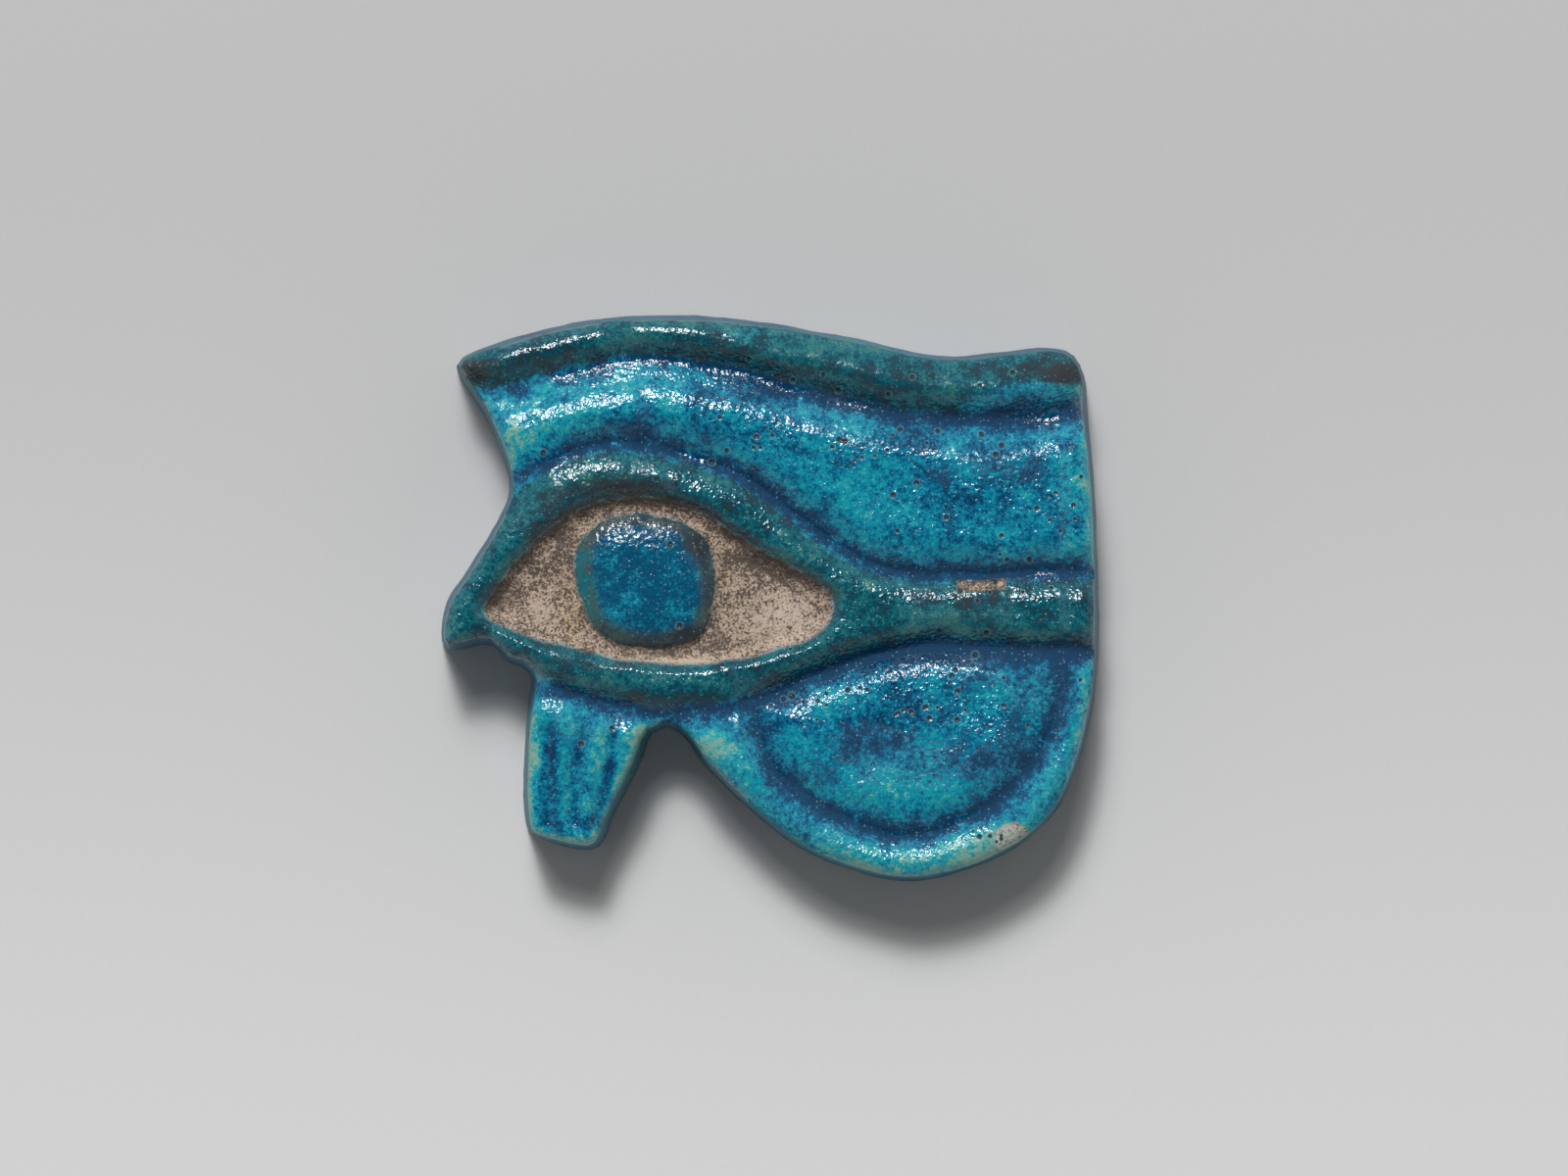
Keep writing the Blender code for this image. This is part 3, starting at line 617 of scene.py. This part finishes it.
def merged_copy(node):
    """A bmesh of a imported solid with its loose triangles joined."""
    shape = bmesh.new()
    shape.from_mesh(node.data)
    bmesh.ops.remove_doubles(shape, verts=shape.verts, dist=WELD)
    return shape


def coordinates(shape):
    return np.array([vert.co for vert in shape.verts])


def field_faces(shape):
    """The nearly level triangles of the carved face."""
    return [face for face in shape.faces
            if face.normal.z > LEVEL_NORMAL and face.calc_center_median().z > 0.5 * solid_high.z]


def even_out(shape, longest):
    """Cuts the long, narrow triangles of the fields into even ones."""
    for _ in range(EVEN_ROUNDS):
        fields = field_faces(shape)
        chosen = set(fields)
        inner = dict.fromkeys(edge for face in fields for edge in face.edges
                              if chosen.issuperset(edge.link_faces))
        bmesh.ops.beautify_fill(shape, faces=fields, edges=list(inner), method="AREA")
        long_edges = dict.fromkeys(edge for face in field_faces(shape) for edge in face.edges
                                   if edge.calc_length() > longest)
        if not long_edges:
            return
        bmesh.ops.subdivide_edges(shape, edges=list(long_edges), cuts=1)
        bmesh.ops.triangulate(shape, faces=[face for face in shape.faces if len(face.verts) > 3])
        shape.normal_update()


def cut_round_pits(shape, pits, cuts):
    """Cuts the edges near each pit finer."""
    shape.edges.ensure_lookup_table()
    ends = np.array([[vert.co[:] for vert in edge.verts] for edge in shape.edges])
    middles = ends.mean(1)
    near = pit_distance(middles[:, :2], pits) < FINER_ROUND_PITS
    near &= middles[:, 2] > 0.5 * solid_high.z
    chosen = [edge for edge, is_near in zip(shape.edges, near) if is_near]
    bmesh.ops.subdivide_edges(shape, edges=chosen, cuts=cuts)
    bmesh.ops.triangulate(shape, faces=[face for face in shape.faces if len(face.verts) > 3])


def carve(shape, relief, wear):
    """Gives the face the exact relief with its wear, and returns the marks that colour it."""
    drawing = Drawing(relief)
    pits = pit_places(drawing, wear)
    cut_round_pits(shape, pits, wear.pit_cuts)
    co = coordinates(shape)
    drawing.lay_over(co[:, :2], wear)
    on_face = (co[:, 2] > relief.foot_height + 0.1 * MM) & (drawing.to_rim > -0.05 * MM)
    pit = pit_distance(co[:, :2], pits)
    height = drawing.height() - drawing.wear_fall(wear)
    height -= wear.pit_depth * (1 - np.clip(pit, 0, 1) ** 2) ** 2
    marks = face_marks(drawing, co, on_face, pit)
    co[on_face, 2] = height[on_face]
    near_rim = 1 - ease(drawing.to_rim / (1.5 * MM))
    standing = ease(co[:, 2] / relief.foot_height)
    for axis in (0, 1):
        wander = rough(co, wear.rim_wobble_size, 3, 5 + axis)
        co[:, axis] += wear.rim_wobble * wander * near_rim * standing
    for vert, place in zip(shape.verts, co):
        vert.co = place
    return marks


def band(away, width, middle=0.0):
    """A soft band round a curve, its width and middle in millimetres."""
    return np.exp(-((away - middle * MM) / (width * MM)) ** 2)


def step(away, middle, width):
    """A soft step beside a curve, its middle and width in millimetres."""
    return ease(0.5 + (away - middle * MM) / (width * MM))


def painted_places(drawing):
    """How much paint lies on the brow, the lids and the tail, and where it is black: Soot patches,
    with painted shade on the upper lid's lower slope and under the iris.
    """
    above_brow = step(drawing.brow.signed(), 0.30, 1.1)
    lids = (step(-drawing.lid.signed(), 0.65, 1.3) * step(drawing.under.signed(), 0.55, 1.2)
            * step(-drawing.eye, 0.0, 0.3))
    paint = np.maximum(above_brow, lids) - drawing.patches(BARE_PAINT_PATCHES)
    lash_line = drawing.placed([(0, LASH_LINE)])[0, 1]
    over_eye = ease((drawing.points[:, 1] - lash_line) / (LASH_RISE * drawing.unit))
    lid_soot_and_shade = lids * np.exp(-np.clip(-drawing.eye, 0, None) / (0.9 * MM)) * over_eye
    return paint, np.maximum(drawing.patches(SOOT_AND_SHADE_PATCHES), lid_soot_and_shade)


def pooled_places(drawing):
    """How deep the glaze has pooled in the grooves, fainter at the start of each."""
    pool = sum(strength * band(bed.away, width) * (0.25 + 0.75 * ease(bed.share / run))
               for bed, width, strength, run in (
                   (drawing.brow, 0.75, 1.0, 0.45), (drawing.lid, 0.80, 0.9, 0.1),
                   (drawing.under, 0.85, 1.0, 0.1), (drawing.tear, 0.95, 0.82, 0.15)))
    pool += sum(strength * band(flute.away, 0.50)
                for strength, flute in zip((0.30, 0.35, 0.60), drawing.flutes))
    pool *= 1 - drawing.patch(*FAINT_SPOT)
    return np.maximum(pool, drawing.patches(POOL_PATCHES))


def dull_places(drawing):
    """Where the glaze is matte: along the grooves' lips, under the brow and in patches."""
    lips = sum(band(bed.signed(), 0.36, -0.27)
               for bed in (drawing.lid, drawing.under, drawing.tear))
    strip = 0.7 * band(drawing.brow.signed(), 0.35, -1.80)
    under_lip = 0.9 * band(drawing.under.signed(), 0.36, -0.27)
    dull = 0.12 + np.maximum(lips, drawing.patches(DULL_PATCHES)) - drawing.patches(SHINY_PATCHES)
    return np.maximum(np.maximum(dull, strip), under_lip)


def face_marks(drawing, co, on_face, pit):
    """What each point is, for the glaze to read: distances in millimetres and shares."""
    eye, iris = drawing.eye, drawing.iris
    paint, soot_and_shade = painted_places(drawing)
    bare = np.maximum(drawing.slot, drawing.chip) / MM
    # Staining plus painted shade: dark along the crease and the white's upper wall, where shade
    # falls
    dirt_and_shade = drawing.patches(DIRT_AND_SHADE_PATCHES) + band(drawing.crease.away, 0.2)
    dirt_and_shade += 0.55 * band(drawing.upper_lid.away, 0.75)
    off_face = ~on_face
    return {
        "eye_mm": np.clip(eye / MM, -4, 4) - 8 * off_face,
        "iris_mm": np.clip(iris / MM, -4, 5) - 8 * off_face,
        "rim_mm": np.where(on_face, np.clip(drawing.to_rim / MM, 0, 3), -0.5),
        "paint": paint * on_face,
        "soot_and_shade": soot_and_shade * on_face,
        "pool": np.clip(pooled_places(drawing), 0, 1) * on_face,
        "blue": drawing.patches(BLUE_PATCHES) * on_face,
        "green": drawing.patches(GREEN_PATCHES),
        "bare_mm": np.where(on_face, np.clip(bare, -2, 2), -2),
        "worn": drawing.patches(WORN_PATCHES) * on_face,
        "pit": np.where(on_face, np.clip(pit, 0, 3), 3),
        "chalk_and_highlight": drawing.patches(CHALK_AND_HIGHLIGHT_PATCHES),
        "ochre_and_highlight": drawing.patches(OCHRE_AND_HIGHLIGHT_PATCHES),
        "dull": dull_places(drawing) * on_face,
        "sparkle": drawing.patches(SPARKLE_PATCHES) * on_face,
        "dirt_and_shade": dirt_and_shade,
        "back": np.where(co[:, 2] < 0.3 * MM, 1.0, 0.0),
    }


def finish_piece(shape, name, marks):
    """Turns a bmesh into a smooth object that carries its marks."""
    mesh = bpy.data.meshes.new(name)
    shape.to_mesh(mesh)
    shape.free()
    mesh.shade_smooth()
    mesh.set_sharp_from_angle(angle=SHARP_ANGLE)
    for mark, values in marks.items():
        mesh.attributes.new(mark, "FLOAT", "POINT").data.foreach_set("value", values.astype("f4"))
    piece = bpy.data.objects.new(name, mesh)
    bpy.context.scene.collection.objects.link(piece)
    return piece


class Nodes:
    """Short ways to add and join the nodes of one node tree."""

    def __init__(self, tree):
        self.tree = tree

    def add(self, kind, inputs=(), **settings):
        node = self.tree.nodes.new(kind)
        for name, value in settings.items():
            setattr(node, name, value)
        for key, value in dict(inputs).items():
            self.feed(node.inputs[key], value)
        return node

    def feed(self, socket, value):
        """Joins or sets one input. A text stands for the mark of that name."""
        if isinstance(value, str):
            value = self.mark(value)
        if isinstance(value, bpy.types.NodeSocket):
            self.tree.links.new(value, socket)
        elif socket.type == "RGBA":
            socket.default_value = (*value[:3], 1)
        else:
            socket.default_value = value

    def mark(self, name):
        return self.add("ShaderNodeAttribute", attribute_name=name).outputs["Fac"]

    def math(self, operation, first, second=0.0, clamp=False):
        node = self.add("ShaderNodeMath", {0: first, 1: second}, operation=operation,
                        use_clamp=clamp)
        return node.outputs[0]

    def times(self, first, second, clamp=False):
        return self.math("MULTIPLY", first, second, clamp)

    def larger(self, first, second):
        return self.math("MAXIMUM", first, second)

    def ramp(self, value, low, high, to_low=0.0, to_high=1.0):
        """Eases a value from one range to another."""
        inputs = {"Value": value, "From Min": low, "From Max": high, "To Min": to_low,
                  "To Max": to_high}
        return self.add("ShaderNodeMapRange", inputs, interpolation_type="SMOOTHSTEP").outputs[0]

    def total(self, start, *shares):
        """A start value plus each value times its weight."""
        for value, weight in shares:
            start = self.add("ShaderNodeMath", {0: value, 1: weight, 2: start},
                             operation="MULTIPLY_ADD").outputs[0]
        return start

    def palette(self, value, stops):
        """A colour picked from a row of (place, colour) stops."""
        node = self.add("ShaderNodeValToRGB", {0: value})
        ramp = node.color_ramp
        while len(ramp.elements) < len(stops):
            ramp.elements.new(0.5)
        for element, (at, shade) in zip(ramp.elements, stops):
            element.position = at
            element.color = (*shade, 1)
        return node.outputs[0]

    def mix(self, share, first, second, blend="MIX"):
        node = self.add("ShaderNodeMix", {0: share, 6: first, 7: second}, data_type="RGBA",
                        blend_type=blend)
        return node.outputs[2]

    def noise(self, place, size, detail=2.0, roughness=0.5):
        inputs = {"Vector": place, "Scale": 1 / size, "Detail": detail, "Roughness": roughness}
        return self.add("ShaderNodeTexNoise", inputs).outputs["Fac"]

    def cells(self, place, size, feature="F1"):
        inputs = {"Vector": place, "Scale": 1 / size}
        return self.add("ShaderNodeTexVoronoi", inputs, feature=feature)


def faience(look):
    """One material for glaze, paint and bare body, told apart by the marks on the mesh."""
    material = bpy.data.materials.new("faience_glaze")
    material.use_nodes = True
    n = Nodes(material.node_tree)
    shader = material.node_tree.nodes["Principled BSDF"]
    place = n.add("ShaderNodeTexCoord").outputs["Object"]
    cloud = n.noise(place, 5.0 * MM, 3)
    mottle = n.noise(place, 1.5 * MM, 4, 0.62)
    fleck = n.noise(place, 0.42 * MM, 3, 0.65)
    grain = n.noise(place, 0.18 * MM, 2, 0.7)
    lumps = n.noise(place, 0.85 * MM, 1, 0.5)
    beads = n.noise(place, 0.34 * MM, 1, 0.5)
    crystals = n.cells(place, 0.30 * MM)
    chance = n.add("ShaderNodeSeparateColor", {0: crystals.outputs["Color"]}).outputs[0]
    ragged = n.total(-0.5, (mottle, 0.4), (fleck, 0.35), (grain, 0.25))

    depth = n.total(-1.32, (cloud, 0.70), (mottle, 1.05), (fleck, 1.10), (grain, 0.85),
                    ("blue", 0.30), ("pool", 0.52), ("green", -0.26), ("worn", -0.30))
    edge = n.times(n.ramp(n.total("rim_mm", (ragged, 3.0)), 0.0, 1.1, 1, 0),
                   n.ramp(cloud, 0.42, 0.62))
    wall = n.ramp("rim_mm", -0.4, 0.0, 1, 0)
    depth = n.total(depth, (edge, -0.25), (wall, 0.12))
    glaze = n.palette(depth, [(0.06, look.rubbed), (0.22, look.green), (0.40, look.turquoise),
                              (0.60, look.blue), (0.78, look.cobalt), (1.00, look.navy)])

    layer = n.total(-1.58, (cloud, 0.85), (mottle, 1.30), (fleck, 1.10), (grain, 0.90),
                    ("green", -0.18), ("worn", -0.25), (edge, -0.15), ("pool", 0.20))
    paint = n.palette(layer, [(0.12, look.paint_pale), (0.34, look.paint), (0.62, look.paint_deep),
                              (0.90, look.soot_and_shade)])
    painted = n.ramp(n.total("paint", (ragged, 1.0)), 0.30, 0.72)
    surface = n.mix(painted, glaze, paint)

    crystal = n.times(n.ramp(chance, 0.45, 0.9),
                      n.ramp(crystals.outputs["Distance"], 0.14, 0.30, 1, 0))

    iris_depth = n.total("iris_mm", (ragged, 0.90))
    in_iris = n.ramp(iris_depth, -0.16, 0.16)
    iris_layer = n.total(-1.15, (mottle, 1.2), (fleck, 1.0), (grain, 1.1), ("green", -0.35))
    iris = n.palette(iris_layer, [(0.08, look.turquoise), (0.42, look.iris), (0.85, look.cobalt)])
    iris_edge = n.total("iris_mm", (ragged, 2.2), ("green", -0.55))
    iris_edge = n.ramp(iris_edge, 0.45, 1.45, 1, 0)
    ring = n.palette(n.total(iris_layer, ("green", -0.30)),
                     [(0.02, look.paint), (0.16, look.olive), (0.38, look.ring),
                      (0.75, look.paint_deep)])
    surface = n.mix(in_iris, surface, n.mix(iris_edge, iris, ring))
    # Soot and painted shade laid over the glaze
    soot_and_shade_share = n.ramp(n.total("soot_and_shade", (ragged, 1.1)), 0.30, 1.00)
    surface = n.mix(soot_and_shade_share, surface, look.soot_and_shade)
    # Pale quartz specks, with more of them where the highlights fall: painted highlight
    crystal_and_highlight_share = n.total(0.48, (painted, -0.10), ("sparkle", 0.30))
    surface = n.mix(n.times(crystal, crystal_and_highlight_share), surface, look.crystal)
    thin_wall = n.times(wall, n.ramp(ragged, -0.10, 0.10, 0.75, 0.35))
    surface = n.mix(thin_wall, surface, look.slate)

    lined = n.total("eye_mm", (ragged, 1.10))
    outside_iris = n.math("SUBTRACT", 1.0, in_iris)
    white = n.times(n.ramp(lined, -0.24, 0.20), outside_iris)
    slot = n.ramp(n.total("bare_mm", (ragged, 0.8)), -0.10, 0.12)
    thin_back = n.times("back", n.ramp(n.total(cloud, (ragged, 0.6)), 0.44, 0.56))
    bare = n.larger(n.larger(white, slot), thin_back)
    # Pale and yellowish body, partly painted highlight along the eye's lit lower wall
    body = n.mix("chalk_and_highlight", look.body, look.chalk_and_highlight)
    chip = n.times(slot, "green", clamp=True)
    body = n.mix(chip, body, look.chip)
    body = n.mix(n.times("ochre_and_highlight", n.ramp(mottle, 0.3, 0.6)), body, look.ochre_and_highlight)
    # Painted shade: the white is darkened just inside its edge, and further by the stained and
    # shaded marks
    lid_wall_shade = n.times(n.ramp("eye_mm", 0.0, 0.5, 0.3, 0), white)
    soil_and_shade = n.total(lid_wall_shade, ("dirt_and_shade", 0.9), (ragged, 1.8))
    soil_and_shade = n.times(n.ramp(soil_and_shade, 0.25, 1.1), 0.92)
    body = n.mix(soil_and_shade, body, look.dirt_and_shade)
    sand = n.total(-0.185, (grain, 0.95), (fleck, 0.45), (mottle, 0.38), ("chalk_and_highlight", -0.13),
                   ("dirt_and_shade", 0.05), (chip, -0.05))
    body = n.mix(n.ramp(sand, 0.58, 0.80), body, look.grain)
    surface = n.mix(bare, surface, body)
    pit = n.mark("pit")
    # Painted shade: each pit's core is painted dark, as the shade inside the hole
    surface = n.mix(n.ramp(pit, 0.60, 1.00, 0.96, 0), surface, look.soot_and_shade)
    surface = n.mix(n.times(n.ramp(pit, 0.95, 1.1), n.ramp(pit, 1.2, 1.7, 0.22, 0)),
                    surface, look.crystal)
    n.feed(shader.inputs["Base Color"], surface)

    rubbed = n.math("ADD", n.ramp(depth, 0.05, 0.30, 0.35, 0),
                    n.ramp("rim_mm", -0.2, 0.1, 0.4, 0))
    dull = n.ramp(n.total("dull", (ragged, 2.6)), 0.38, 0.58)
    gloss = n.total(0.10, (n.ramp(mottle, 0.4, 0.7), 0.06), (rubbed, 1.0), (dull, 0.86))
    n.feed(shader.inputs["Roughness"], n.larger(gloss, n.times(bare, 0.9)))

    height = n.total(0.0, (lumps, 0.030), (beads, 0.064), (n.times(beads, mottle), 0.050),
                     (n.times(beads, "sparkle"), 0.060), (grain, 0.012),
                     (n.times(bare, grain), 0.06), (n.times(bare, fleck), 0.06))
    bump = n.add("ShaderNodeBump", {"Strength": 1.0, "Distance": MM, "Height": height})
    n.feed(shader.inputs["Normal"], bump.outputs["Normal"])
    shader.inputs["IOR"].default_value = 1.55
    return material


def table_paper(look):
    """Pale paper, lighter towards the near side: painted light for the main light's fall-off."""
    material = bpy.data.materials.new("table_paper")
    material.use_nodes = True
    n = Nodes(material.node_tree)
    shader = material.node_tree.nodes["Principled BSDF"]
    place = n.add("ShaderNodeTexCoord").outputs["Object"]
    along = n.add("ShaderNodeSeparateXYZ", {0: place}).outputs["Y"]
    near = n.ramp(along, 0.04, -0.06)
    tooth = n.ramp(n.noise(place, 0.35 * MM, 2), 0.3, 0.7, 0.985, 1.0)
    shade = n.mix(near, look.paper_far_shaded, look.paper_near_lit)
    tone = n.add("ShaderNodeCombineColor", {0: tooth, 1: tooth, 2: tooth}).outputs[0]
    n.feed(shader.inputs["Base Color"], n.mix(1.0, shade, tone, "MULTIPLY"))
    shader.inputs["Roughness"].default_value = 0.9
    shader.inputs["Specular IOR Level"].default_value = 0.2
    return material


def area_light(name, place, size, power, aim=(0, 0, 0)):
    data = bpy.data.lights.new(name, "AREA")
    data.shape = "DISK"
    data.size = size
    data.energy = power
    light = bpy.data.objects.new(name, data)
    light.location = place
    light.rotation_euler = (Vector(aim) - Vector(place)).to_track_quat("-Z", "Y").to_euler()
    bpy.context.scene.collection.objects.link(light)


class WEDJAT_OT_amulet(bpy.types.Operator):
    """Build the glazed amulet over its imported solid"""

    bl_idname = "wedjat.amulet"
    bl_label = "Amulet"
    bl_options = {"REGISTER", "UNDO"}

    def execute(self, context):
        relief = context.scene.wedjat_relief
        wear = context.scene.wedjat_wear
        shape = merged_copy(solid)
        even_out(shape, wear.longest_edge)
        bmesh.ops.subdivide_edges(shape, edges=shape.edges, cuts=wear.face_cuts,
                                  use_grid_fill=True)
        marks = carve(shape, relief, wear)
        piece = finish_piece(shape, "amulet", marks)
        piece.data.materials.append(faience(context.scene.wedjat_glaze))
        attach(piece, "root")
        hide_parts(NODE)
        return {"FINISHED"}


class WEDJAT_OT_stage(bpy.types.Operator):
    """Lay the table and set the lights and the camera"""

    bl_idname = "wedjat.stage"
    bl_label = "Stage"
    bl_options = {"REGISTER", "UNDO"}

    # The photograph's frame is 1600 pixels wide and the amulet takes up 670.8 of them
    PIXEL = 0.050 / 670.8
    FRAME_PIXELS = 1600
    MIDDLE_PIXELS = (14.65, 10.15)
    LENS = 200
    SENSOR = 36
    TABLE_REACH = 1.5

    def execute(self, context):
        scene = context.scene
        look = scene.wedjat_stage
        shape = bmesh.new()
        bmesh.ops.create_grid(shape, x_segments=1, y_segments=1, size=self.TABLE_REACH)
        mesh = bpy.data.meshes.new("table")
        shape.to_mesh(mesh)
        shape.free()
        table = bpy.data.objects.new("table", mesh)
        mesh.materials.append(table_paper(look))
        scene.collection.objects.link(table)
        level = look.key_distance * math.cos(look.key_height)
        source = (-level * math.sin(look.key_turn), level * math.cos(look.key_turn),
                  look.key_distance * math.sin(look.key_height))
        area_light("key_light", source, look.key_size, look.key_power)
        area_light("soft_light", source, look.soft_size, look.soft_power)
        world = bpy.data.worlds.new("room")
        scene.world = world
        world.use_nodes = True
        n = Nodes(world.node_tree)
        towards = n.add("ShaderNodeTexCoord").outputs["Generated"]
        height = n.add("ShaderNodeSeparateXYZ", {0: towards})
        sky = world.node_tree.nodes["Background"].inputs
        sky["Color"].default_value = (1, 1, 1, 1)
        n.feed(sky["Strength"], n.ramp(height.outputs["Z"], 0.25, 0.90, look.sky, look.ceiling))
        scene.view_settings.view_transform = "Standard"
        lens = bpy.data.cameras.new("camera")
        lens.lens = self.LENS
        lens.sensor_width = self.SENSOR
        camera = bpy.data.objects.new("camera", lens)
        away = self.FRAME_PIXELS * self.PIXEL * self.LENS / self.SENSOR + 0.6 * MM
        camera.location = (*(at * self.PIXEL for at in self.MIDDLE_PIXELS), away)
        scene.collection.objects.link(camera)
        scene.camera = camera
        return {"FINISHED"}


class WEDJAT_PT_sidebar(bpy.types.Panel):
    """The amulet's pieces and sizes"""

    bl_idname = "WEDJAT_PT_sidebar"
    bl_label = "Wedjat eye amulet"
    bl_space_type = "VIEW_3D"
    bl_region_type = "UI"
    bl_category = "Wedjat"

    def draw(self, context):
        for group, operator in (("wedjat_stage", "wedjat.stage"), ("wedjat_relief", None),
                                ("wedjat_wear", None), ("wedjat_glaze", "wedjat.amulet")):
            box = self.layout.box()
            settings = getattr(context.scene, group)
            for name in settings.__annotations__:
                box.prop(settings, name)
            if operator:
                box.operator(operator)


GROUPS = {"wedjat_relief": AmuletRelief, "wedjat_wear": AmuletWear, "wedjat_glaze": AmuletGlaze,
          "wedjat_stage": AmuletStage}
CLASSES = (*GROUPS.values(), WEDJAT_OT_amulet, WEDJAT_OT_stage, WEDJAT_PT_sidebar)


def register():
    for cls in CLASSES:
        bpy.utils.register_class(cls)
    for name, group in GROUPS.items():
        setattr(bpy.types.Scene, name, PointerProperty(type=group))


def unregister():
    for name in GROUPS:
        delattr(bpy.types.Scene, name)
    for cls in reversed(CLASSES):
        bpy.utils.unregister_class(cls)


def main():
    register()
    bpy.ops.wedjat.stage()
    bpy.ops.wedjat.amulet()


if __name__ == "__main__":
    main()
